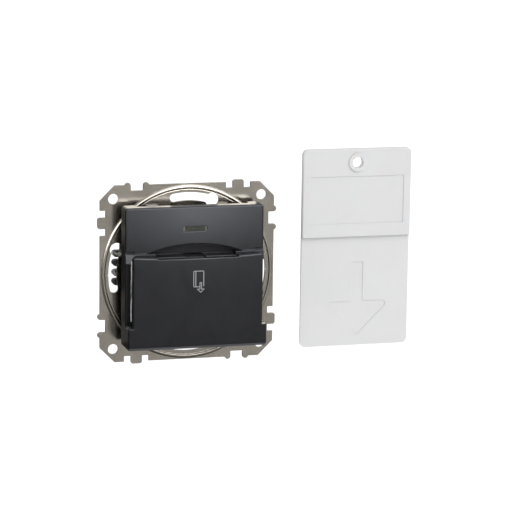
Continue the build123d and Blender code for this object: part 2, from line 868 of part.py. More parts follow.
def fixed_rivets():
    """The silver faces under the upper contact arm and on the lower one."""
    group = Part()
    for side in (-1, 1):
        middle = lever_pin_height + side * (contact_face_offset + fixed_rivet_height / 2)
        group += Pos(0, rivet_y, middle) * Cylinder(rivet_radius, fixed_rivet_height)
    return group


# Terminals
def busbar(side, station):
    """The plate of one terminal, with a window for the release slider's stem."""
    half = busbar_half_height
    left, right = beside(side, busbar_place, busbar_place + busbar_gauge)
    plate = block(left, right, busbar_front, busbar_back, station - half, station + half)
    deep = stem_thickness / 2 + free_gap
    y_front = station_depth - deep
    y_back = station_depth + deep
    half = stem_height / 2 + free_gap
    return plate - block(left - overrun, right + overrun, y_front, y_back, station - half, station + half)


def arm_profile(points, y_front, y_back):
    """A strip drawn in X and Z and as wide as the space between two Y values."""
    return slab(bent_strip(points, busbar_gauge, busbar_bend), y_front, y_back)


def rest_contact_terminal():
    """The terminal that is live while there is no card."""
    height = lever_pin_height + contact_arm_offset
    points = [(-contact_arm_end, height), (busbar_middle, height), (busbar_middle, busbar_join)]
    half = contact_arm_width / 2
    return busbar(1, station_height) + arm_profile(points, rivet_y - half, rivet_y + half)


def card_contact_terminal():
    """The terminal that is live while the card is in."""
    height = lever_pin_height - contact_arm_offset
    low = -station_height - busbar_half_height - loop_gap - busbar_gauge / 2
    points = [
        (-contact_arm_end, height),
        (card_drop_place, height),
        (card_drop_place, low),
        (busbar_middle, low),
        (busbar_middle, -busbar_join),
    ]
    half = contact_arm_width / 2
    return busbar(1, -station_height) + arm_profile(points, rivet_y - half, rivet_y + half)


def common_terminal():
    """The terminal that feeds the moving contact through its pin."""
    high = station_height + busbar_half_height + loop_gap + busbar_gauge / 2
    low = lever_pin_height - common_tab_drop
    points = [
        (-busbar_middle, busbar_join),
        (-busbar_middle, high),
        (-common_tab_place, high),
        (-common_tab_place, low),
    ]
    half = common_tab_width / 2
    strip = arm_profile(points, rocker_pin_y - half, rocker_pin_y + half)
    bore = rocker_pin_radius + pin_clearance
    left = -common_tab_place - busbar_gauge - overrun
    hole = rod_along_x(bore, left, -bearing_rib_outer, rocker_pin_y, lever_pin_height)
    return busbar(-1, station_height) + strip - hole


def neutral_terminal():
    """The terminal that returns the lamp's current."""
    low = -station_height - busbar_half_height - loop_gap - busbar_gauge / 2
    points = [
        (-busbar_middle, -busbar_join),
        (-busbar_middle, low),
        (-card_drop_place, low),
        (-card_drop_place, -station_height),
    ]
    half = neutral_tab_width / 2
    return busbar(-1, -station_height) + arm_profile(points, rivet_y - half, rivet_y + half)


# Release sliders and clamp springs, drawn for the right side and mirrored for the left
def to_side(solid, side):
    """A piece of the right side, or its mirror image on the left."""
    return solid if side > 0 else mirror(solid, about=Plane.YZ)


def slider_prong(station):
    """One rounded prong that a screwdriver pushes, seen end-on from the front."""
    start = slider_flange_outer - slider_flange_thickness / 2
    length = prong_tip - start
    half = prong_height / 2
    straight = Pos(start + (length - half) / 2, station) * Rectangle(length - half, prong_height)
    return straight + Pos(prong_tip - half, station) * Circle(half)


def release_slider(side, station):
    y_front = station_depth - prong_thickness / 2
    y_back = station_depth + prong_thickness / 2
    slider = Part()
    for offset_z in (-prong_offset, prong_offset):
        slider += slab(slider_prong(station + offset_z), y_front, y_back)
    left = slider_flange_inner
    right = slider_flange_outer
    half = prong_offset + prong_height / 2 + slider_flange_lip / 2
    lip = slider_flange_lip
    slider += block(left, right, y_front - lip, y_back + lip, station - half, station + half)
    half = stem_height / 2
    y_front = station_depth - stem_thickness / 2
    y_back = station_depth + stem_thickness / 2
    tip = clamp_leg_x(y_back) + clamp_gauge
    slider += block(tip, left, y_front, y_back, station - half, station + half)
    return to_side(slider, side)


def clamp_leg_x(y):
    """The X of the clamp spring's working leg at one depth."""
    edge_x = busbar_place - free_gap - clamp_gauge / 2
    share = (clamp_edge_back - y) / (clamp_edge_back - clamp_front)
    return edge_x + (clamp_bend_place - edge_x) * share


def clamp_spring(side, station):
    """A strip bent into a loop, whose slanted leg presses the wires to the busbar."""
    points = [
        (clamp_leg_x(clamp_edge_back), clamp_edge_back),
        (clamp_bend_place, clamp_front),
        (clamp_rear_place, clamp_front),
        (clamp_rear_place, clamp_rear_back),
    ]
    outline = bent_strip(points, clamp_gauge, clamp_bend_radius)
    return to_side(layer(outline, station - clamp_half_height, station + clamp_half_height), side)


# Housing
def rear_housing():
    outer = rounded(housing_half, housing_half, housing_corner_radius)
    inner = rounded(housing_inner, housing_inner, housing_corner_radius - housing_wall)
    shell = slab(outer, 0, housing_depth) - slab(inner, -overrun, housing_floor)
    room = slab(inner, 0, housing_floor)
    inside = Part()
    for x, z in corners(screw_place):
        inside += rod_along_y(screw_boss_radius, 0, housing_floor, x, z)
    front = bearing_rib_front
    half = chamber_wall / 2
    for side in (-1, 1):
        left, right = beside(side, bearing_rib_inner, bearing_rib_outer)
        inside += block(left, right, front, housing_floor, bearing_rib_bottom, bearing_rib_top)
        left, right = beside(side, chamber_inner, housing_inner)
        for z in (-chamber_end, 0, chamber_end):
            inside += block(left, right, chamber_front, housing_floor, z - half, z + half)
    shell += inside & room
    screw_end = depth(bridge_depth) + screw_length + free_gap
    for x, z in corners(screw_place):
        shell -= rod_along_y(screw_hole_radius, -overrun, screw_end, x, z)
    reach = bearing_rib_outer + overrun
    shell -= rod_along_x(rocker_pin_radius, -reach, reach, rocker_pin_y, lever_pin_height)
    shell -= strip_passages()
    for side in (-1, 1):
        for station in (-station_height, station_height):
            shell -= terminal_cuts(side, station)
    for side in (-1, 1):
        for step in (-1, 0, 1):
            x = step * 2 * vent_width
            z = side * vent_place
            vent = Pos(x, z) * SlotOverall(vent_height, vent_width, rotation=90)
            shell -= slab(vent, housing_floor - overrun, housing_depth + overrun)
    return shell


def strip_passages():
    """Slots in the ribs for the contact arms and the card terminal's loop."""
    half = contact_arm_width / 2 + free_gap
    y_front = rivet_y - half
    y_back = rivet_y + half
    room = busbar_gauge / 2 + free_gap
    left = bearing_rib_inner - overrun
    right = bearing_rib_outer + overrun
    cut = Part()
    for side in (-1, 1):
        z = lever_pin_height + side * contact_arm_offset
        cut += block(left, right, y_front, y_back, z - room, z + room)
    drop = card_drop_place
    return cut + block(drop - room, drop + room, y_front, y_back, -overrun, overrun)


def terminal_cuts(side, station):
    """The wire holes at the back and the slots for the slider's prongs."""
    cut = Part()
    room = slide_clearance
    left, right = beside(side, housing_inner - overrun, housing_half + overrun)
    y_front = station_depth - prong_thickness / 2 - room
    y_back = station_depth + prong_thickness / 2 + room
    for offset_z in (-prong_offset, prong_offset):
        z = station + offset_z
        half = prong_height / 2 + room
        cut += block(left, right, y_front, y_back, z - half, z + half)
        wire_x = side * (busbar_place - wire_radius)
        cut += rod_along_y(wire_hole_radius, housing_floor - overrun, housing_depth + overrun, wire_x, z)
    return cut


# Lamp
def lamp_board():
    half = board_width / 2
    back = depth(board_depth)
    outline = rounded(half, (board_top - board_bottom) / 2, board_corner_radius)
    front = back - board_thickness
    board = slab(Pos(0, (board_top + board_bottom) / 2) * outline, front, back)
    bore = lamp_wire_radius + seat_gap
    for side in (-1, 1):
        wire_x = side * lamp_wire_place
        board -= rod_along_y(bore, front - overrun, back + overrun, wire_x, lamp_wire_height)
    return board


def indicator_lamp():
    """The small lamp on the board, with its round window towards the lens."""
    base_back = depth(board_depth) - board_thickness
    base_front = base_back - lamp_base_thickness
    half = lamp_side / 2
    lamp = block(-half, half, base_front, base_back, lens_place - half, lens_place + half)
    dome_front = base_front - lamp_dome_radius
    room = block(-half, half, dome_front, base_front, lens_place - half, lens_place + half)
    return lamp + (Pos(0, base_front, lens_place) * Sphere(lamp_dome_radius) & room)


def lamp_wires():
    """Two bent wires from the board to the neutral and the card terminals."""
    group = Part()
    start = depth(board_depth) - board_thickness
    for side in (-1, 1):
        points = [
            (side * lamp_wire_place, start, lamp_wire_height),
            (side * lamp_wire_place, lamp_wire_back, lamp_wire_height),
            (side * lamp_wire_place, lamp_wire_back, lamp_wire_run),
            (side * busbar_middle, lamp_wire_back, lamp_wire_run),
            (side * busbar_middle, lamp_wire_back, -lamp_wire_drop),
            (side * busbar_middle, busbar_front - seat_gap, -lamp_wire_drop),
        ]
        path = FilletPolyline(*points, radius=lamp_wire_bend)
        section = Plane(origin=path @ 0, z_dir=path % 0) * RegularPolygon(lamp_wire_radius, wire_sides)
        group += sweep(section, path=path)
    return group


# Key card
def card_arrow():
    """The arrow sunk in the blade, which points the way into the pocket."""
    half = card_stem_width / 2
    reach = card_arrow_half_width
    top = card_step - card_stem_top_drop
    shoulder = card_step - card_arrow_top_drop
    stem = [(-half, shoulder), (-half, top), (half, top), (half, shoulder)]
    head = [(reach, shoulder), (0, shoulder - card_arrow_height), (-reach, shoulder)]
    arrow = make_face(Polyline(*stem, *head, close=True))
    across = arrow.vertices().sort_by(Axis.X)
    tip = arrow.vertices().sort_by(Axis.Y)[0]
    arrow = fillet([across[0], across[-1], tip], card_arrow_corner_radius)
    return Pos(card_centre + card_arrow_offset, 0) * arrow


def key_card():
    half_width = card_width / 2
    middle = (card_bottom + card_top) / 2
    outline = Pos(card_centre, middle) * rounded(half_width, card_height / 2, card_corner_radius)
    card = slab(outline, card_front, card_back)
    card = fillet(front_edges(card), card_edge_radius)
    front = card_front - overrun
    left = card_centre - half_width
    right = card_centre + half_width
    low = card_bottom - overrun
    card -= block(left - overrun, right + overrun, front, card_blade_front, low, card_step)
    label_top = card_top - card_label_top_drop
    label_bottom = card_step + card_label_bottom_rise
    left += card_label_margin
    right -= card_label_margin
    card -= block(left, right, front, card_front + card_label_sink, label_bottom, label_top)
    card -= slab(card_arrow(), card_blade_front - overrun, card_blade_front + card_mark_sink)
    hole_height = card_top - card_hole_drop
    rim_front = card_front - card_rim_height
    rim = rod_along_y(card_rim_radius, rim_front, card_back, card_centre, hole_height)
    card += fillet(front_edges(rim), card_rim_edge_radius)
    card -= rod_along_y(card_hole_radius, rim_front - overrun, card_back + overrun, card_centre, hole_height)
    return card


# Every piece of the switch, by the name of its node
pieces = {
    "mounting_frame": mounting_frame(),
    "front_cover": front_cover(),
    "indicator_lens": indicator_lens(),
    "mechanism_bridge": mechanism_bridge(),
    "bridge_screws": bridge_screws(),
    "card_lever": card_lever(),
    "lever_pin": lever_pin(),
    "return_spring": return_spring(),
    "contact_rocker": contact_rocker(),
    "moving_contact": moving_contact(),
    "moving_rivets": moving_rivets(),
    "rocker_pin": rocker_pin(),
    "fixed_rivets": fixed_rivets(),
    "common_terminal": common_terminal(),
    "rest_contact_terminal": rest_contact_terminal(),
    "card_contact_terminal": card_contact_terminal(),
    "neutral_terminal": neutral_terminal(),
    "rear_housing": rear_housing(),
    "lamp_board": lamp_board(),
    "indicator_lamp": indicator_lamp(),
    "lamp_wires": lamp_wires(),
    "key_card": key_card(),
}
for side_name, side in (("left", -1), ("right", 1)):
    for station_name, station in (("upper", station_height), ("lower", -station_height)):
        place = side_name + "_" + station_name
        pieces["release_slider_" + place] = release_slider(side, station)
        pieces["clamp_spring_" + place] = clamp_spring(side, station)

os.makedirs("parts", exist_ok=True)
for name, shape in pieces.items():
    export_step(shape, "parts/" + name + ".step")

print("lever pin", round(lever_pin_y, 3), lever_pin_height)
print("rocker pin", round(rocker_pin_y, 3), lever_pin_height)
print("rocker turn for one of the lever", round(rocker_ratio, 4))
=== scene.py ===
# Hotel key card switch: the finish of every piece, the printed sign and the studio around it.
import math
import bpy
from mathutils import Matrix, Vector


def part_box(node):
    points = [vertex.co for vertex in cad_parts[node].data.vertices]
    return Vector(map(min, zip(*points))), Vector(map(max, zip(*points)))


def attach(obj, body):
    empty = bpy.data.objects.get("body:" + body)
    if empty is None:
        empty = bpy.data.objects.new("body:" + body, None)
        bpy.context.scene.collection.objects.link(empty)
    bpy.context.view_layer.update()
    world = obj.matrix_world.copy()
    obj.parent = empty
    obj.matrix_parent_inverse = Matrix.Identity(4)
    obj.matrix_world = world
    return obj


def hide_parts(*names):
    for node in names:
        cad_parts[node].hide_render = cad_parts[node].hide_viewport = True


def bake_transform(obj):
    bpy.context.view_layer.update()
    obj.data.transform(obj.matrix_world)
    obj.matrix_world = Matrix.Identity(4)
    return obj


bl_info = {
    "name": "Hotel key card switch",
    "version": (1, 0, 0),
    "blender": (4, 5, 0),
    "location": "3D View > Sidebar > Key card switch",
    "description": "Finishes and fine parts of a hotel key card switch, with its studio",
    "category": "Object",
}

import bmesh
import bpy
from bpy.props import FloatProperty, FloatVectorProperty, PointerProperty
from mathutils import Matrix, Vector

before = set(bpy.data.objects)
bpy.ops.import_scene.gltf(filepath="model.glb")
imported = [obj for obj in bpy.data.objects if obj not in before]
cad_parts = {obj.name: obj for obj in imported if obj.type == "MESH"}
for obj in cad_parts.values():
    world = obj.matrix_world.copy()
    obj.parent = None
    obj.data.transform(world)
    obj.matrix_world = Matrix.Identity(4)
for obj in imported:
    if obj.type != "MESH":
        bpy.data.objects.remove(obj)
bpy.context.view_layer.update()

MM = 0.001
ROOT = "switch_frame"
# Half the height of the front cover, in millimetres
COVER_HALF = (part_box("front_cover")[1].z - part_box("front_cover")[0].z) / 2 / MM
PLACES = ("left_upper", "left_lower", "right_upper", "right_lower")


# Shader maths: a node's output that Python's operators work on
class Signal:
    """An output of a shader node. Sums and products of signals add Math nodes."""

    def __init__(self, wiring, socket):
        self.wiring = wiring
        self.socket = socket

    def __add__(self, other):
        return self.wiring.maths("ADD", self, other)

    def __radd__(self, other):
        return self.wiring.maths("ADD", other, self)

    def __sub__(self, other):
        return self.wiring.maths("SUBTRACT", self, other)

    def __rsub__(self, other):
        return self.wiring.maths("SUBTRACT", other, self)

    def __mul__(self, other):
        return self.wiring.maths("MULTIPLY", self, other)

    def __rmul__(self, other):
        return self.wiring.maths("MULTIPLY", other, self)

    def __truediv__(self, other):
        return self.wiring.maths("DIVIDE", self, other)

    def __rtruediv__(self, other):
        return self.wiring.maths("DIVIDE", other, self)

    def __pow__(self, other):
        return self.wiring.maths("POWER", self, other)

    def __abs__(self):
        return self.wiring.maths("ABSOLUTE", self)

    def above(self, level):
        """One where the signal is over a level and zero elsewhere."""
        return self.wiring.maths("GREATER_THAN", self, level)

    def clamped(self):
        """The signal held between zero and one."""
        return self.wiring.add("ShaderNodeClamp", {}, {"Value": self})

    def ramp(self, low, high):
        """Zero at the low level, one at the high level, smooth between them."""
        settings = {"interpolation_type": "SMOOTHSTEP"}
        sockets = {"Value": self, "From Min": low, "From Max": high}
        return self.wiring.add("ShaderNodeMapRange", settings, sockets)


class Wiring:
    """The nodes of a finish or of the sky."""

    def __init__(self, tree):
        self.tree = tree
        self.tree.nodes.clear()

    def feed(self, socket, value):
        """Link a signal to a socket, or set the socket's own value."""
        if isinstance(value, Signal):
            self.tree.links.new(value.socket, socket)
        elif hasattr(socket.default_value, "__len__") and len(socket.default_value) == 4:
            socket.default_value = (*tuple(value)[:3], 1.0)
        else:
            socket.default_value = value

    def add(self, kind, settings, sockets, output=0):
        """Add a node: its settings first, then its sockets by name or number."""
        node = self.tree.nodes.new(kind)
        for name, value in settings.items():
            setattr(node, name, value)
        for key, value in sockets.items():
            self.feed(node.inputs[key], value)
        return Signal(self, node.outputs[output]) if node.outputs else None

    def maths(self, operation, *terms):
        return self.add("ShaderNodeMath", {"operation": operation}, dict(enumerate(terms)))

    def vector(self, operation, first, second, output=0):
        settings = {"operation": operation}
        return self.add("ShaderNodeVectorMath", settings, {0: first, 1: second}, output)

    def blend(self, factor, first, second):
        """A colour between two colours."""
        return self.add("ShaderNodeMix", {"data_type": "RGBA"}, {0: factor, 6: first, 7: second}, 2)

    def axes(self, vector):
        """The three parts of a vector."""
        node = self.tree.nodes.new("ShaderNodeSeparateXYZ")
        self.feed(node.inputs[0], vector)
        return [Signal(self, socket) for socket in node.outputs]


class Finish(Wiring):
    """A material drawn with one Principled shader, and the nodes that feed it."""

    def __init__(self, name, colour, roughness, metallic=0.0, constants=None):
        self.material = bpy.data.materials.new(name)
        self.material.use_nodes = True
        super().__init__(self.material.node_tree)
        self.shader = self.tree.nodes.new("ShaderNodeBsdfPrincipled")
        self.add("ShaderNodeOutputMaterial", {}, {"Surface": Signal(self, self.shader.outputs[0])})
        self.shade = colour
        self.paint({"Base Color": colour, "Roughness": roughness, "Metallic": metallic})
        self.paint(constants or {})

    def paint(self, sockets):
        """Feed the shader's sockets by name."""
        for name, value in sockets.items():
            self.feed(self.shader.inputs[name], value)

    def place(self):
        """The place on the piece, in millimetres."""
        spot = self.add("ShaderNodeTexCoord", {}, {}, "Object")
        return self.vector("MULTIPLY", spot, (1 / MM, 1 / MM, 1 / MM))

    def noise(self, size, detail=2.0, stretch=(1.0, 1.0, 1.0)):
        """A noise whose grains are about this many millimetres, stretched along the axes."""
        scaled = self.vector("DIVIDE", self.place(), tuple(size * share for share in stretch))
        sockets = {"Vector": scaled, "Scale": 1.0, "Detail": detail, "Roughness": 0.55}
        return self.add("ShaderNodeTexNoise", {}, sockets)

    def facing(self):
        """How squarely the surface faces along each axis, from -1 to 1."""
        return self.axes(self.add("ShaderNodeTexCoord", {}, {}, "Normal"))

    def rounding(self, radius):
        """The surface's normal, with every sharp edge rounded to a radius in millimetres."""
        return self.add("ShaderNodeBevel", {"samples": 6}, {"Radius": radius * MM})

    def edges(self, radius):
        """One on the rounded edges and zero on flat stretches."""
        normal = self.add("ShaderNodeNewGeometry", {}, {}, "Normal")
        match = self.vector("DOT_PRODUCT", self.rounding(radius), normal, "Value")
        return (1 - match).ramp(0.002, 0.05)

    def relief(self, height, normal):
        """Bump the surface by a height in millimetres, on top of a normal."""
        sockets = {"Height": height, "Distance": MM, "Strength": 1.0, "Normal": normal}
        self.paint({"Normal": self.add("ShaderNodeBump", {}, sockets)})


def tint(colour, share):
    """A colour made lighter or darker by a share."""
    return tuple(part * share for part in colour)


def dress(nodes, finish):
    """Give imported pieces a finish."""
    for name in nodes:
        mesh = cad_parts[name].data
        mesh.materials.clear()
        mesh.materials.append(finish.material)


# Sizes and colours that a user would change
def colour_property(name, description, default):
    return FloatVectorProperty(
        name=name, description=description, default=default, subtype="COLOR", min=0, max=1
    )


def share_property(name, description, default):
    return FloatProperty(
        name=name, description=description, default=default, subtype="FACTOR", min=0, max=1
    )


def length_property(name, description, default_mm):
    return FloatProperty(
        name=name,
        description=description,
        default=default_mm * MM,
        subtype="DISTANCE",
        unit="LENGTH",
        precision=5,
    )


def angle_property(name, description, default_degrees):
    default = math.radians(default_degrees)
    return FloatProperty(name=name, description=description, default=default, subtype="ANGLE")


def light_property(name, description, default):
    return FloatProperty(name=name, description=description, default=default, min=0, soft_max=20)


class MetalLooks(bpy.types.PropertyGroup):
    """Colours of the stamped, turned and drawn metal pieces."""

    zinc: colour_property("Zinc", "Zinc plating of the mounting frame", (0.65, 0.58, 0.475))
    zinc_roughness: share_property("Zinc roughness", "How dull the mounting frame is", 0.17)
    brass: colour_property("Brass", "Terminals and the moving contact", (0.78, 0.58, 0.30))
    silver: colour_property("Silver", "Faces of the contact rivets", (0.86, 0.85, 0.82))
    steel: colour_property("Steel", "Pins and springs", (0.60, 0.60, 0.61))
    screw: colour_property("Screw zinc", "Yellowish plating of the screws", (0.62, 0.60, 0.52))


class PlasticLooks(bpy.types.PropertyGroup):
    """Colours of the moulded pieces."""

    cover: colour_property(
        "Anthracite", "Satin moulding of the front cover", (0.0148, 0.0147, 0.0162)
    )
    cover_roughness: share_property("Cover roughness", "How dull the front cover is", 0.30)
    crown: length_property("Cover crown", "How far the cover's fronts seem to bulge", 2.4)
    inner: colour_property(
        "Inner black", "Lever, bridge, sliders and housing", (0.006, 0.006, 0.0065)
    )
    natural: colour_property("Natural nylon", "Contact rocker", (0.60, 0.57, 0.50))
    lens: colour_property("Lens olive", "Indicator lens", (0.040, 0.040, 0.031))
    lens_end: colour_property("Lens ends", "Frosted ends of the lens", (0.14, 0.14, 0.135))
    board: colour_property("Board", "Lamp board laminate", (0.30, 0.19, 0.08))
    wire: colour_property("Wire blue", "Insulation of the lamp wires", (0.03, 0.08, 0.30))
    lamp: colour_property("Lamp resin", "Indicator lamp", (0.82, 0.80, 0.70))
    card: colour_property("Card white", "Moulded key card", (0.575, 0.575, 0.575))
    # Painted highlight: colour of the pale strips along the slot
    guide: colour_property("Guide", "Pale strips beside the slot", (0.80, 0.80, 0.82))
    # Painted glint on the roots of every other slider prong
    painted_prong_glint: colour_property(
        "Scraped plastic", "Where screwdrivers rub the sliders", (0.45, 0.45, 0.45)
    )
    print_grey: colour_property("Print grey", "The sign on the pocket", (0.30, 0.30, 0.305))


class SignSizes(bpy.types.PropertyGroup):
    """The printed sign: a card outline and an arrow that points down."""

    line: length_property("Line", "Width of the printed lines", 0.30)
    thickness: length_property("Ink", "How far the print stands on the pocket", 0.01)
    left: length_property("Left", "Left side of the card outline", -2.1)
    right: length_property("Right", "Right side of the card outline", 2.2)
    top: length_property("Top", "Top of the card outline", 3.8)
    bottom: length_property("Bottom", "Bottom of the card outline", -2.7)
    stripe: length_property("Stripe", "From the card's left side to its stripe", 0.98)
    corner: length_property("Corner", "Round corner of the card outline", 0.35)
    arrow: length_property("Arrow", "Middle line of the arrow", 0.88)
    stem: length_property("Stem", "Width of the arrow's stem", 0.94)
    stem_top: length_property("Stem top", "Top of the arrow's stem", -0.8)
    head: length_property("Head", "Width of the arrow's head", 3.0)
    head_top: length_property("Head top", "Top of the arrow's head", -3.35)
    tip: length_property("Tip", "The arrow's tip", -5.05)


class SlotHighlightSizes(bpy.types.PropertyGroup):
    """Thin pale strips on the bed beside the card's long edges: a painted highlight along the slot.
    """

    top: length_property("Top", "Height of the strips' upper ends", 7.6)
    bottom: length_property("Bottom", "Height of the strips' lower ends", -16.2)
    top_place: length_property("Top place", "From the middle to the strips' upper ends", 25.62)
    bottom_place: length_property(
        "Bottom place", "From the middle to the strips' lower ends", 25.80
    )
    width: length_property("Width", "Width of a strip", 0.4)
    thickness: length_property("Thickness", "How far a strip stands on the bed", 0.25)
    wave: length_property("Wave", "How far a strip wanders sideways", 0.06)
    bed: length_property("Bed", "Front of the bed, measured along Y", -14.3)


class StudioSettings(bpy.types.PropertyGroup):
    """Camera, lights and floor."""

    turn: angle_property("Turn", "How far round to the left the camera stands", 15.727)
    rise: angle_property("Rise", "How far the camera looks down", 10.688)
    roll: angle_property("Roll", "How far the camera leans about its line of sight", 0.7247)
    distance: length_property("Distance", "From the camera to what it aims at", 994.91)
    focal: FloatProperty(
        name="Focal length",
        description="Of the lens, on a 36 mm sensor",
        default=176.46,
        subtype="DISTANCE_CAMERA",
    )
    floor: length_property("Floor", "Height of the floor", -300.0)
    paper: colour_property("Paper", "The pale floor", (0.96, 0.96, 0.96))
    fill: light_property("Fill", "Even light from all around", 0.60)
    key: light_property("Key light", "Soft light from the right, in front and above", 2.1)
    back: light_property("Back light", "Soft light from behind and above", 1.3)
    overhead: light_property("Overhead", "Reflection of the ceiling", 0.6)
    window: light_property("Window", "Reflection of the window low in front", 6.0)
    side_window: light_property("Side window", "Reflection of the window at the left", 7.0)
    front: light_property("Front", "Reflection of the room in front", 0.34)
    behind: light_property("Behind", "Reflection of what is behind and below", 0.03)


# Where the finishes change on the pieces, in millimetres from the middle of the switch.
# A pair says where a change starts and where it is complete.
MARK_START = (30.6, 30.8)
MARK_END = (32.4, 32.6)
BEAD_START = (32.75, 32.85)
BEAD_END = (34.75, 34.85)
BED_DEPTH = (-15.5, -14.6)
BED_TOP = (7.0, 8.0)
PRONG_ROOT = (28.9, 29.5)
# Heights of the middles of the prongs that carry the painted glint
PRONG_HEIGHTS = (5.4, -2.2)
# From the middle of a mark, and of a prong's painted glint, to its border
MARK_LINE = (0.10, 0.22)
PRONG_HALF = (1.2, 1.7)
# How far the lens's frosted ends reach inwards, and how much of that is their soft border
LENS_END = 1.35
LENS_END_BORDER = 0.35

# Rings of the bead's crown: start, end, and how far the surface leans outward in them
CROWN_RINGS = (
    ((33.85, 34.95), BEAD_END, 0.90),
    ((33.15, 33.30), (33.50, 33.75), -0.55),
    ((32.75, 32.90), (33.0, 33.15), 0.12),
)
# How squarely a surface has to face the front to carry the bead's crown
FRONT_FACING = 0.05
# How strongly the cover seems to bulge from side to side, as a share of that from top to bottom
CROWN_ACROSS = 0.9


def band(signal, start, end):
    """One between two places and zero outside them."""
    return signal.ramp(*start) - signal.ramp(*end)


# Metal finishes
def scribed_marks(finish):
    """Short lines scribed on the plate's middle lines, just inside the ring bead."""
    x, _, z = finish.axes(finish.place())
    marks = 0.0
    for along, across in ((x, z), (z, x)):
        line = 1 - abs(across).ramp(*MARK_LINE)
        marks = marks + line * band(abs(along), MARK_START, MARK_END)
    return marks


def bead_crown(finish):
    """The ring bead's round crown: a mask of the bead's front, and its normal."""
    x, _, z = finish.axes(finish.place())
    radius = (x * x + z * z) ** 0.5
    _, facing_back, _ = finish.facing()
    bead = band(radius, BEAD_START, BEAD_END) * (0 - facing_back).above(FRONT_FACING)
    lean = 0.0
    for start, end, most in CROWN_RINGS:
        lean = lean + band(radius, start, end) * most
    tilt = lean / radius
    leaning = finish.add("ShaderNodeCombineXYZ", {}, {0: x * tilt, 1: -1.0, 2: z * tilt})
    return bead, finish.vector("NORMALIZE", leaning, (0, 0, 0))


def zinc_finish(looks):
    """Stamped zinc-plated steel: rolling grain, soft stains, dull cut edges and back."""
    finish = Finish("zinc_plate", looks.zinc, looks.zinc_roughness, 1.0)
    stain = finish.noise(14.0, detail=3.0).ramp(0.3, 0.7)
    speck = finish.noise(0.35, detail=4.0)
    grain = finish.noise(0.16, stretch=(60.0, 1.0, 1.0))
    _, facing_back, _ = finish.facing()
    side = 1 - abs(facing_back).ramp(0.35, 0.7)
    marks = scribed_marks(finish)
    zinc = looks.zinc
    colour = finish.blend(stain, tint(zinc, 0.94), tint(zinc, 1.04))
    colour = finish.blend(speck.ramp(0.55, 0.75) * 0.4, colour, tint(zinc, 1.18))
    colour = finish.blend(side * 0.6, colour, tint(zinc, 0.70))
    colour = finish.blend(marks * 0.5, colour, tint(zinc, 0.45))
    back = facing_back.ramp(0.3, 0.7)
    rough = looks.zinc_roughness + (stain - 0.5) * 0.04 + (grain - 0.5) * 0.05
    rough = rough + side * 0.14 + back * 0.2
    metallic = 1 - back * 0.7
    finish.paint({"Base Color": colour, "Roughness": rough.clamped(), "Metallic": metallic})
    bead, crown = bead_crown(finish)
    normal = finish.blend(bead, finish.rounding(0.04), crown)
    finish.relief(grain * 0.0008 + speck * 0.0008 - marks * 0.02, normal)
    return finish


def bright_metal(name, colour, roughness, grain_size, stretch=(1.0, 1.0, 1.0)):
    """Drawn or ground metal: fine lines, or fine grains where they aren't stretched."""
    finish = Finish(name, colour, roughness, 1.0)
    lines = finish.noise(grain_size, detail=3.0, stretch=stretch)
    dull = finish.noise(1.8).ramp(0.35, 0.75)
    shade = finish.blend(dull, tint(colour, 0.78), tint(colour, 1.04))
    rough = roughness + (lines - 0.5) * 0.2 + dull * 0.06
    finish.paint({"Base Color": shade, "Roughness": rough.clamped()})
    finish.relief(lines * 0.006, finish.rounding(0.06))
    return finish


# Plastic finishes
def moulded(name, colour, roughness, texture, rounding, wear_and_highlight=0.25, crown=0.0, constants=None):
    """A moulding: fine spark-eroded texture, slight clouding, and edges painted paler, partly as
    wear and partly as a painted highlight.
    """
    finish = Finish(name, colour, roughness, 0.0, constants)
    cloud = finish.noise(9.0).ramp(0.3, 0.7)
    grain = finish.noise(texture, detail=3.0)
    worn_and_highlit_edges = finish.edges(rounding * 1.6)
    shade = finish.blend(cloud, tint(colour, 0.93), tint(colour, 1.07))
    # Edges painted paler: partly wear, partly a painted highlight on their rounding
    shade = finish.blend(worn_and_highlit_edges * wear_and_highlight, shade, tint(colour, 2.4))
    rough = roughness + (grain - 0.5) * 0.08 + (cloud - 0.5) * 0.04 - worn_and_highlit_edges * 0.10
    finish.paint({"Base Color": shade, "Roughness": rough.clamped()})
    height = grain * 0.004
    if crown:
        x, _, z = finish.axes(finish.place())
        height = height - (x * x * CROWN_ACROSS + z * z) * (crown / COVER_HALF**2)
    finish.relief(height, finish.rounding(rounding))
    finish.shade = shade
    return finish


def cover_finish(looks):
    """The front cover: painted shade on its sides and on the bed, painted light in the scoop, and a
    painted highlight along the upper front edges.
    """
    finish = moulded(
        "anthracite",
        looks.cover,
        looks.cover_roughness,
        texture=0.20,
        rounding=0.40,
        wear_and_highlight=0.9,
        crown=looks.crown / MM,
        constants={"Specular IOR Level": 0.35},
    )
    facing_right, facing_back, facing_up = finish.facing()
    facing_front = 0 - facing_back
    # Painted shade: the side walls are painted darker
    side = abs(facing_right).ramp(0.6, 0.9)
    # Painted light: the scoop, which faces down and forward, is painted lighter
    painted_scoop_light = (0 - facing_up).ramp(0.2, 0.5) * facing_front.ramp(0.1, 0.4)
    _, depth, height = finish.axes(finish.place())
    # Painted shadow: the bed behind the pocket is painted darker, apart from its sides
    bed = depth.ramp(*BED_DEPTH) * (1 - height.ramp(*BED_TOP))
    bed = bed * (1 - abs(facing_right).ramp(0.2, 0.4))
    # Painted highlight along the upper front edges
    _, _, rounded_up = finish.axes(finish.rounding(0.5))
    painted_lip_highlight = rounded_up.ramp(0.10, 0.35) * facing_front.ramp(0.7, 0.9)
    shade = finish.blend(side * 0.9, finish.shade, tint(looks.cover, 0.15))
    shade = finish.blend(painted_scoop_light, shade, tint(looks.cover, 5.5))
    shade = finish.blend(bed * 0.8, shade, tint(looks.cover, 0.15))
    shade = finish.blend(painted_lip_highlight, shade, tint(looks.cover, 6.5))
    finish.paint({"Base Color": shade})
    return finish


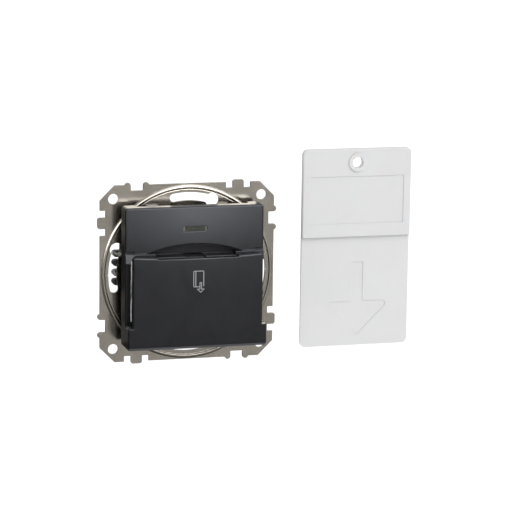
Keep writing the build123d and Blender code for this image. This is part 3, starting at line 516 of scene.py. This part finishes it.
def lens_finish(looks):
    """Olive translucent moulding with fine vertical prisms and frosted ends."""
    body = {"Transmission Weight": 0.2, "Coat Weight": 0.4}
    roughness = 0.22
    finish = Finish("indicator_lens", looks.lens, roughness, 0.0, body)
    x, _, _ = finish.axes(finish.place())
    low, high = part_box("indicator_lens")
    end_start = (high.x - low.x) / 2 / MM - LENS_END
    end = abs(x).ramp(end_start, end_start + LENS_END_BORDER)
    prism = finish.maths("SINE", x * 9.0)
    colour = finish.blend(end, looks.lens, looks.lens_end)
    colour = finish.blend(prism * 0.12 + 0.12, colour, tint(looks.lens, 1.7))
    rough = roughness + end * 0.3 + finish.noise(0.4) * 0.08
    finish.paint({"Base Color": colour, "Roughness": rough.clamped()})
    finish.relief(prism * 0.02, finish.rounding(0.15))
    return finish


def slot_highlight_finish(looks):
    """Pale strip painted as a broken highlight: bright in some stretches and duller in others."""
    finish = moulded("slot_highlight_pale", looks.guide, 0.35, texture=0.3, rounding=0.05, wear_and_highlight=0.0)
    bright = finish.noise(2.2, detail=3.0, stretch=(1.0, 1.0, 2.0)).ramp(0.35, 0.60)
    finish.paint({"Base Color": finish.blend(bright, tint(looks.guide, 0.35), looks.guide)})
    return finish


def slider_finish(looks):
    """Black sliders with a painted glint, broken up by noise, at the root of every other prong, and
    the other prongs painted a lighter grey.
    """
    finish = moulded("slider_black", looks.inner, 0.30, texture=0.25, rounding=0.2, wear_and_highlight=0.6)
    x, _, z = finish.axes(finish.place())
    root = 1 - abs(x).ramp(*PRONG_ROOT)
    upper, lower = [abs(z - middle).ramp(*PRONG_HALF) for middle in PRONG_HEIGHTS]
    glint_breakup = finish.noise(0.9, detail=3.0).ramp(0.42, 0.56)
    # Painted glint at the root of every other prong, broken up by noise
    painted_glint = root * (2 - upper - lower) * glint_breakup
    shade = finish.blend(painted_glint, finish.shade, looks.painted_prong_glint)
    # The prongs away from the painted glints are painted a lighter grey
    greyer_other_prongs = finish.blend((upper * lower) * 0.8, shade, tint(looks.inner, 7.0))
    finish.paint({"Base Color": greyer_other_prongs})
    return finish


def card_finish(looks):
    """White card: satin, faintly marbled, with hairline scuffs from the slot."""
    body = {"Subsurface Weight": 0.10, "Subsurface Scale": 0.0006, "Specular IOR Level": 0.3}
    roughness = 0.42
    finish = Finish("card_white", looks.card, roughness, 0.0, body)
    cloud = finish.noise(16.0).ramp(0.3, 0.7)
    grain = finish.noise(0.22, detail=3.0)
    hairlines = finish.noise(0.10, detail=1.0, stretch=(1.0, 1.0, 90.0)).ramp(0.62, 0.80)
    scuffs = hairlines * finish.noise(12.0, detail=1.0).ramp(0.45, 0.65)
    facing_right, _, _ = finish.facing()
    side = abs(facing_right).ramp(0.5, 0.9)
    colour = finish.blend(cloud, tint(looks.card, 0.99), tint(looks.card, 1.01))
    colour = finish.blend(scuffs * 0.15, colour, tint(looks.card, 0.92))
    # Painted light: the card's side faces are painted lighter
    colour = finish.blend(side, colour, tint(looks.card, 1.3))
    rough = roughness + (grain - 0.5) * 0.10 + scuffs * 0.12
    finish.paint({"Base Color": colour, "Roughness": rough.clamped()})
    finish.relief(grain * 0.004 - scuffs * 0.006, finish.rounding(0.12))
    return finish


# Mesh helpers
def ribbon(points, width, closed):
    """The left and right borders of a flat line, mitred at its corners."""
    count = len(points)
    left, right = [], []
    for index, point in enumerate(points):
        before = points[index - 1] if index or closed else None
        after = points[(index + 1) % count] if index < count - 1 or closed else None
        leave = (after - point).normalized() if after is not None else None
        arrive = (point - before).normalized() if before is not None else leave
        leave = arrive if leave is None else leave
        normal = Vector((-arrive.y - leave.y, arrive.x + leave.x)).normalized()
        reach = width / 2 / max(normal.dot(Vector((-leave.y, leave.x))), 0.5)
        left.append(point + normal * reach)
        right.append(point - normal * reach)
    return left, right


def add_print(work, points, width, face_y, thickness, closed):
    """Add one printed line to a mesh: a thin strip that stands on a face."""
    left, right = ribbon(points, width, closed)
    front_y = face_y - thickness
    rows = []
    for a, b in zip(left, right):
        ring = [(a.x, face_y, a.y), (a.x, front_y, a.y), (b.x, front_y, b.y), (b.x, face_y, b.y)]
        rows.append([work.verts.new(place) for place in ring])
    spans = len(rows) if closed else len(rows) - 1
    for index in range(spans):
        first = rows[index]
        second = rows[(index + 1) % len(rows)]
        for side in range(4):
            after = (side + 1) % 4
            work.faces.new((first[side], first[after], second[after], second[side]))
    if not closed:
        work.faces.new(list(reversed(rows[0])))
        work.faces.new(rows[-1])


def finish_piece(work, name, finish, body):
    """Turn a bmesh into a piece that rides on a body."""
    bmesh.ops.recalc_face_normals(work, faces=work.faces)
    mesh = bpy.data.meshes.new(name)
    work.to_mesh(mesh)
    work.free()
    mesh.materials.append(finish.material)
    piece = bpy.data.objects.new(name, mesh)
    bpy.context.scene.collection.objects.link(piece)
    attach(piece, body)
    return piece


def rounded_corner(corner, start, end, radius, steps=5):
    """Points of an arc that rounds a right-angled corner from one side to the other."""
    toward_start = (start - corner).normalized() * radius
    toward_end = (end - corner).normalized() * radius
    centre = corner + toward_start + toward_end
    points = []
    for step in range(steps + 1):
        angle = math.pi / 2 * step / steps
        points.append(centre - toward_end * math.cos(angle) - toward_start * math.sin(angle))
    return points


# Operators, one for each piece or group of like pieces; the stage's comes last
class DressFrame(bpy.types.Operator):
    """Finish the mounting frame"""

    bl_idname = "key_card_switch.dress_frame"
    bl_label = "Mounting frame"

    def execute(self, context):
        dress(["mounting_frame"], zinc_finish(context.scene.switch_metals))
        return {"FINISHED"}


class DressCover(bpy.types.Operator):
    """Finish the front cover"""

    bl_idname = "key_card_switch.dress_cover"
    bl_label = "Front cover"

    def execute(self, context):
        dress(["front_cover"], cover_finish(context.scene.switch_plastics))
        return {"FINISHED"}


class DressLens(bpy.types.Operator):
    """Finish the indicator lens"""

    bl_idname = "key_card_switch.dress_lens"
    bl_label = "Indicator lens"

    def execute(self, context):
        dress(["indicator_lens"], lens_finish(context.scene.switch_plastics))
        return {"FINISHED"}


class DressLever(bpy.types.Operator):
    """Finish the matt card lever"""

    bl_idname = "key_card_switch.dress_lever"
    bl_label = "Card lever"

    def execute(self, context):
        looks = context.scene.switch_plastics
        matt = {"Specular IOR Level": 0.25}
        lever = moulded(
            "lever_black",
            tint(looks.inner, 2.0),
            0.45,
            texture=0.25,
            rounding=0.15,
            wear_and_highlight=0.5,
            constants=matt,
        )
        dress(["card_lever"], lever)
        return {"FINISHED"}


class DressMouldings(bpy.types.Operator):
    """Finish the bridge, the housing, the release sliders and the contact rocker"""

    bl_idname = "key_card_switch.dress_mouldings"
    bl_label = "Inner mouldings"

    def execute(self, context):
        looks = context.scene.switch_plastics
        black = tint(looks.inner, 1.2)
        grey = tint(looks.inner, 4.0)
        bridge = moulded("bridge_black", black, 0.48, texture=0.30, rounding=0.2)
        housing = moulded("housing_black", grey, 0.52, texture=0.34, rounding=0.25)
        rocker = moulded(
            "natural_nylon", looks.natural, 0.45, texture=0.3, rounding=0.12, wear_and_highlight=0.1
        )
        dress(["mechanism_bridge"], bridge)
        dress(["rear_housing"], housing)
        dress(["release_slider_" + place for place in PLACES], slider_finish(looks))
        dress(["contact_rocker"], rocker)
        return {"FINISHED"}


class DressMetals(bpy.types.Operator):
    """Finish the terminals, rivets, pins, springs and screws"""

    bl_idname = "key_card_switch.dress_metals"
    bl_label = "Contacts, springs and screws"

    def execute(self, context):
        looks = context.scene.switch_metals
        contacts = [
            "common_terminal",
            "rest_contact_terminal",
            "card_contact_terminal",
            "neutral_terminal",
            "moving_contact",
        ]
        brass = bright_metal("terminal_brass", looks.brass, 0.30, 0.15, (1.0, 30.0, 1.0))
        silver = bright_metal("rivet_silver", looks.silver, 0.22, 0.10)
        pins = bright_metal("ground_steel", looks.steel, 0.18, 0.08, (1.0, 40.0, 40.0))
        springs = bright_metal("spring_steel", looks.steel, 0.26, 0.10, (1.0, 1.0, 20.0))
        screws = bright_metal("screw_zinc", looks.screw, 0.32, 0.12)
        dress(contacts, brass)
        dress(["moving_rivets", "fixed_rivets"], silver)
        dress(["lever_pin", "rocker_pin"], pins)
        dress(["clamp_spring_" + place for place in PLACES], springs)
        dress(["bridge_screws"], screws)
        return {"FINISHED"}


class FitReturnSpring(bpy.types.Operator):
    """Fit the lever's return spring, between the bridge and the tilting lever, as a steel copy of
    the imported spring
    """

    bl_idname = "key_card_switch.fit_return_spring"
    bl_label = "Return spring"

    def execute(self, context):
        wire = bright_metal("coil_steel", context.scene.switch_metals.steel, 0.26, 0.10)
        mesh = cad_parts["return_spring"].data.copy()
        mesh.materials.clear()
        mesh.materials.append(wire.material)
        coil = bpy.data.objects.new("lever_return_spring", mesh)
        context.scene.collection.objects.link(coil)
        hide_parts("return_spring")
        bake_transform(coil)
        return {"FINISHED"}


class DressLamp(bpy.types.Operator):
    """Finish the lamp, its board and its wires"""

    bl_idname = "key_card_switch.dress_lamp"
    bl_label = "Lamp"

    def execute(self, context):
        looks = context.scene.switch_plastics
        clear = {"Transmission Weight": 0.5}
        board = moulded("board_laminate", looks.board, 0.40, texture=0.5, rounding=0.08, wear_and_highlight=0.1)
        lamp = moulded(
            "lamp_resin", looks.lamp, 0.15, texture=0.5, rounding=0.08, wear_and_highlight=0.0, constants=clear
        )
        wires = moulded("wire_blue", looks.wire, 0.30, texture=0.6, rounding=0.05, wear_and_highlight=0.0)
        dress(["lamp_board"], board)
        dress(["indicator_lamp"], lamp)
        dress(["lamp_wires"], wires)
        return {"FINISHED"}


class DressCard(bpy.types.Operator):
    """Finish the white key card"""

    bl_idname = "key_card_switch.dress_card"
    bl_label = "Key card"

    def execute(self, context):
        dress(["key_card"], card_finish(context.scene.switch_plastics))
        return {"FINISHED"}


class AddSlotHighlights(bpy.types.Operator):
    """Add thin bright strips on the bed beside the card's way, a painted highlight along the slot
    """

    bl_idname = "key_card_switch.add_slot_strips"
    bl_label = "Slot guide strips"

    # Straight stretches of a strip, and how far its wave turns over each, in radians
    spans = 8
    wave_turn = 2.2

    def execute(self, context):
        guide = context.scene.switch_guides
        looks = context.scene.switch_plastics
        work = bmesh.new()
        for side in (-1, 1):
            line = []
            for step in range(self.spans + 1):
                share = step / self.spans
                place = guide.top_place + (guide.bottom_place - guide.top_place) * share
                height = guide.top + (guide.bottom - guide.top) * share
                sway = guide.wave * math.sin(step * self.wave_turn)
                line.append(Vector((side * (place + sway), height)))
            add_print(work, line, guide.width, guide.bed, guide.thickness, False)
        finish_piece(work, "slot_highlight_strips", slot_highlight_finish(looks), ROOT)
        return {"FINISHED"}


class PrintSign(bpy.types.Operator):
    """Print the card and arrow sign on the pocket's front"""

    bl_idname = "key_card_switch.print_sign"
    bl_label = "Card and arrow sign"

    def execute(self, context):
        sign = context.scene.switch_sign
        looks = context.scene.switch_plastics
        low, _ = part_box("front_cover")
        face = low.y
        half = sign.line / 2
        work = bmesh.new()
        top_left = Vector((sign.left + half, sign.top - half))
        top_right = Vector((sign.right - half, sign.top - half))
        bottom_left = Vector((sign.left + half, sign.bottom + half))
        stem_left = sign.arrow - sign.stem / 2 + half
        stem_right = sign.arrow + sign.stem / 2 - half
        side_end = Vector((sign.right - half, sign.bottom + sign.line))
        base_end = Vector((stem_left - half, sign.bottom + half))
        outline = [side_end]
        outline += rounded_corner(top_right, side_end, top_left, sign.corner)
        outline += rounded_corner(top_left, top_right, bottom_left, sign.corner)
        outline += rounded_corner(bottom_left, top_left, base_end, sign.corner)
        outline += [base_end]
        add_print(work, outline, sign.line, face, sign.thickness, False)
        stripe_x = sign.left + sign.stripe
        stripe_ends = (sign.top - sign.line, sign.bottom + sign.line)
        stripe = [Vector((stripe_x, height)) for height in stripe_ends]
        add_print(work, stripe, sign.line, face, sign.thickness, False)
        shoulder = sign.head_top - half
        wing = sign.head / 2 - half
        arrow = [
            Vector((stem_left, sign.stem_top - half)),
            Vector((stem_right, sign.stem_top - half)),
            Vector((stem_right, shoulder)),
            Vector((sign.arrow + wing, shoulder)),
            Vector((sign.arrow, sign.tip + sign.line)),
            Vector((sign.arrow - wing, shoulder)),
            Vector((stem_left, shoulder)),
        ]
        add_print(work, arrow, sign.line, face, sign.thickness, True)
        ink = moulded("print_grey", looks.print_grey, 0.5, texture=0.15, rounding=0.02, wear_and_highlight=0.0)
        finish_piece(work, "pocket_sign", ink, ROOT)
        return {"FINISHED"}


# Where the camera aims, and how wide its sensor is, in millimetres
CAMERA_AIM = (27.71, -1.0, 5.60)
SENSOR_WIDTH = 36.0
# From the middle of the floor to its edges, in metres
FLOOR_REACH = 20.0
# The lights: the direction that each comes from, and how wide it looks in degrees
KEY_LIGHT = ((0.35, -0.65, 0.67), 50.0)
BACK_LIGHT = ((0.0, 0.85, 0.53), 40.0)

# What the glossy pieces mirror, by the parts of a direction that go from -1 to 1.
# A pair says where a change starts and where it is complete.
AHEAD = (0.0, 0.5)
ROOM_ACROSS = (-0.45, 0.20)
ROOM_HEIGHT = (-0.95, -0.30)
CEILING_ACROSS = (-0.40, 0.0)
CEILING_HEIGHT = (0.05, 0.5)
# Brightness at the left of the room and of the ceiling, as a share of that at the right
LEFT_SHARE = 0.35
# The window in front: brightness at its left, then each change towards the right
PANE_LEFT = 0.06
PANE_CHANGES = (
    ((-0.35, 0.0), 0.34),
    ((0.0, 0.22), 0.65),
    ((0.32, 0.50), -0.65),
    ((0.58, 0.74), -0.32),
)
WINDOW_FOOT = (0.0, 0.12)
WINDOW_HEAD = (0.30, 0.50)
WINDOW_HEAD_LOSS = 0.78
# The small window at the left: its middle, and the border of each half
SIDE_MIDDLE = (-0.58, 0.24)
SIDE_ACROSS = (0.10, 0.22)
SIDE_HEIGHT = (0.07, 0.16)
# Colour of the even light, and of what is mirrored
WHITE = (1.0, 1.0, 1.0)
COOL_WHITE = (0.95, 0.985, 1.05)


class BuildStage(bpy.types.Operator):
    """Place the camera, the pale floor, the sky and the lights"""

    bl_idname = "key_card_switch.build_stage"
    bl_label = "Studio"

    def execute(self, context):
        studio = context.scene.switch_studio
        self.place_camera(context.scene, studio)
        self.lay_floor(context.scene, studio)
        self.paint_sky(context.scene, studio)
        self.hang_light(context.scene, "key_light", *KEY_LIGHT, studio.key)
        self.hang_light(context.scene, "back_light", *BACK_LIGHT, studio.back)
        context.scene.view_settings.view_transform = "Standard"
        return {"FINISHED"}

    def place_camera(self, scene, studio):
        turn, rise, roll = studio.turn, studio.rise, studio.roll
        ahead = Vector(
            (math.sin(turn) * math.cos(rise), math.cos(turn) * math.cos(rise), -math.sin(rise))
        )
        right = ahead.cross(Vector((0, 0, 1))).normalized()
        up = right.cross(ahead)
        level_right = right * math.cos(roll) + up * math.sin(roll)
        level_up = up * math.cos(roll) - right * math.sin(roll)
        data = bpy.data.cameras.new("camera")
        data.lens = studio.focal
        data.sensor_width = SENSOR_WIDTH
        camera = bpy.data.objects.new("camera", data)
        scene.collection.objects.link(camera)
        aim = Vector(CAMERA_AIM) * MM
        turned = Matrix((level_right, level_up, -ahead)).transposed().to_4x4()
        camera.matrix_world = Matrix.Translation(aim - ahead * studio.distance) @ turned
        scene.camera = camera

    def lay_floor(self, scene, studio):
        reach = FLOOR_REACH
        work = bmesh.new()
        corners = [(-reach, -reach), (reach, -reach), (reach, reach), (-reach, reach)]
        work.faces.new([work.verts.new((x, y, studio.floor)) for x, y in corners])
        mesh = bpy.data.meshes.new("floor")
        work.to_mesh(mesh)
        work.free()
        paper = Finish("studio_paper", studio.paper, 0.9)
        mesh.materials.append(paper.material)
        floor = bpy.data.objects.new("floor", mesh)
        floor.visible_glossy = False
        scene.collection.objects.link(floor)

    def paint_sky(self, scene, studio):
        """Even white for the light that falls on the pieces, and a room with windows to mirror."""
        world = bpy.data.worlds.new("studio_sky")
        world.use_nodes = True
        world.cycles.sampling_method = "NONE"
        scene.world = world
        sky = Wiring(world.node_tree)
        x, y, z = sky.axes(sky.add("ShaderNodeTexCoord", {}, {}, "Generated"))
        ahead = (0 - y).ramp(*AHEAD)
        right_share = 1 - LEFT_SHARE
        room = LEFT_SHARE + x.ramp(*ROOM_ACROSS) * right_share
        room = ahead * room * z.ramp(*ROOM_HEIGHT) * studio.front
        ceiling = LEFT_SHARE + x.ramp(*CEILING_ACROSS) * right_share
        ceiling = ceiling * z.ramp(*CEILING_HEIGHT) * studio.overhead
        pane = PANE_LEFT
        for change, share in PANE_CHANGES:
            pane = pane + x.ramp(*change) * share
        pane = pane * (z.ramp(*WINDOW_FOOT) - z.ramp(*WINDOW_HEAD) * WINDOW_HEAD_LOSS)
        side_x, side_z = SIDE_MIDDLE
        side_pane = 1 - abs(x - side_x).ramp(*SIDE_ACROSS)
        side_pane = side_pane * (1 - abs(z - side_z).ramp(*SIDE_HEIGHT))
        windows = ahead * pane * studio.window + ahead * side_pane * studio.side_window
        mirrored = studio.behind + room + windows + ceiling
        glossy = sky.add("ShaderNodeLightPath", {}, {}, "Is Glossy Ray")
        strength = glossy * mirrored + (1 - glossy) * studio.fill
        daylight = sky.blend(glossy, WHITE, COOL_WHITE)
        background = sky.add("ShaderNodeBackground", {}, {"Color": daylight, "Strength": strength})
        sky.add("ShaderNodeOutputWorld", {}, {"Surface": background})

    def hang_light(self, scene, name, direction, spread, power):
        """A soft light far away in a direction, as wide as an angle in degrees."""
        data = bpy.data.lights.new(name, "SUN")
        data.angle = math.radians(spread)
        data.energy = power
        light = bpy.data.objects.new(name, data)
        light.visible_glossy = False
        light.rotation_euler = Vector(direction).to_track_quat("Z", "Y").to_euler()
        scene.collection.objects.link(light)


class SwitchPanel(bpy.types.Panel):
    """Lists the steps of the switch"""

    bl_idname = "VIEW3D_PT_key_card_switch"
    bl_label = "Key card switch"
    bl_space_type = "VIEW_3D"
    bl_region_type = "UI"
    bl_category = "Key card switch"

    def draw(self, context):
        for step in STEPS:
            self.layout.operator(step.bl_idname)
        for group in GROUPS:
            settings = getattr(context.scene, group)
            for name in settings.__annotations__:
                self.layout.prop(settings, name)


STEPS = (
    DressFrame,
    DressCover,
    DressLens,
    DressLever,
    DressMouldings,
    DressMetals,
    FitReturnSpring,
    DressLamp,
    DressCard,
    AddSlotHighlights,
    PrintSign,
    BuildStage,
)
GROUPS = {
    "switch_metals": MetalLooks,
    "switch_plastics": PlasticLooks,
    "switch_sign": SignSizes,
    "switch_guides": SlotHighlightSizes,
    "switch_studio": StudioSettings,
}


def register():
    for group in (*GROUPS.values(), *STEPS, SwitchPanel):
        bpy.utils.register_class(group)
    for name, group in GROUPS.items():
        setattr(bpy.types.Scene, name, PointerProperty(type=group))


def unregister():
    for name in GROUPS:
        delattr(bpy.types.Scene, name)
    for group in (SwitchPanel, *reversed(STEPS), *GROUPS.values()):
        bpy.utils.unregister_class(group)


def main():
    register()
    for step in STEPS:
        group, name = step.bl_idname.split(".")
        getattr(getattr(bpy.ops, group), name)()


if __name__ == "__main__":
    main()
